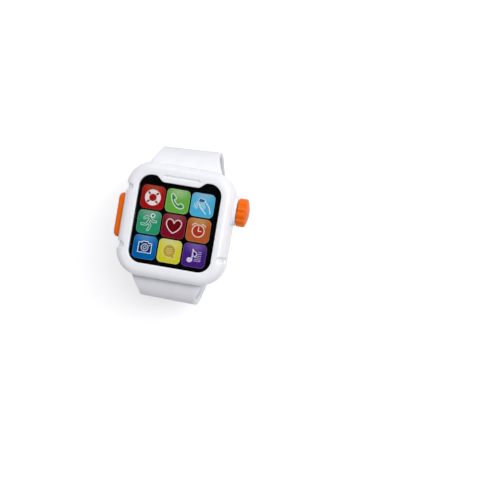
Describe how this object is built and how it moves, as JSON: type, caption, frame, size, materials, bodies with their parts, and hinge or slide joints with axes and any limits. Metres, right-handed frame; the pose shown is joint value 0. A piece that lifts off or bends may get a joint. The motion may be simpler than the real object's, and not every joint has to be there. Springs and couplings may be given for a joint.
{
  "type": "toy watch",
  "caption": "Child's role-play smartwatch with a raised frame round an icon screen, a fluted crown, a side button and a soft strap closed in a loop.",
  "frame": {"origin": "centre of the clasp plate's flat underside, on which the closed watch stands", "axes": "+X towards the crown, +Y towards 12 o'clock, +Z out of the screen"},
  "size_m": [0.0533, 0.0628, 0.054],
  "materials": {
    "white_plastic": "satin moulded",
    "strap_white": "smooth satin soft plastic",
    "orange_plastic": "satin moulded",
    "clear_window": "clear glossy",
    "printed_card": "black print with coloured tiles",
    "inner_plastic": "natural moulded",
    "black_plastic": "moulded",
    "circuit_board": "solder mask",
    "led": "clear resin",
    "speaker": "pressed steel",
    "lead_wire": "insulated",
    "steel": "turned",
    "cell_steel": "pressed",
    "contact_metal": "sprung sheet"
  },
  "bodies": {
    "case": {"front_shell": "white_plastic", "back_cover": "white_plastic", "screen_lens": "clear_window", "icon_card": "printed_card", "light_spacer": "inner_plastic", "circuit_board": "circuit_board", "leds": "led", "sound_chip": "black_plastic", "speaker": "speaker", "speaker_leads": "lead_wire", "crown_switch": "black_plastic", "side_switch": "black_plastic", "battery_cells": "cell_steel", "contact_negative": "contact_metal", "contact_positive": "contact_metal", "contact_bridge": "contact_metal", "case_screws": "steel", "strap_short": "strap_white", "strap_long": "strap_white", "strap_clasp": "white_plastic"},
    "crown_carriage": {"crown_slider": "inner_plastic", "click_spring": "steel", "crown_switch_plunger": "inner_plastic"},
    "crown": {"crown_knob": "orange_plastic", "crown_stem": "steel", "stem_clip": "steel", "click_wheel": "inner_plastic"},
    "button": {"side_button": "orange_plastic", "side_switch_plunger": "inner_plastic"},
    "door": {"battery_door": "white_plastic", "door_screw": "steel", "door_contact": "contact_metal"}
  },
  "joints": [
    {"name": "crown_press", "type": "slide", "parent": "case", "child": "crown_carriage", "axis": [-1, 0, 0], "range_m": [0, 0.0003], "stiffness_N_per_m": 2000, "springref_m": -0.0003},
    {"name": "crown_turn", "type": "hinge", "parent": "crown_carriage", "child": "crown", "pos_m": [0.0233, 0.0087, 0.0479], "axis": [1, 0, 0], "continuous": true},
    {"name": "side_button_press", "type": "slide", "parent": "case", "child": "button", "axis": [1, 0, 0], "range_m": [0, 0.0004], "stiffness_N_per_m": 1500, "springref_m": -0.0003},
    {"name": "battery_door_lift", "type": "slide", "parent": "case", "child": "door", "axis": [0, 0, -1], "range_m": [0, 0.02]}
  ]
}
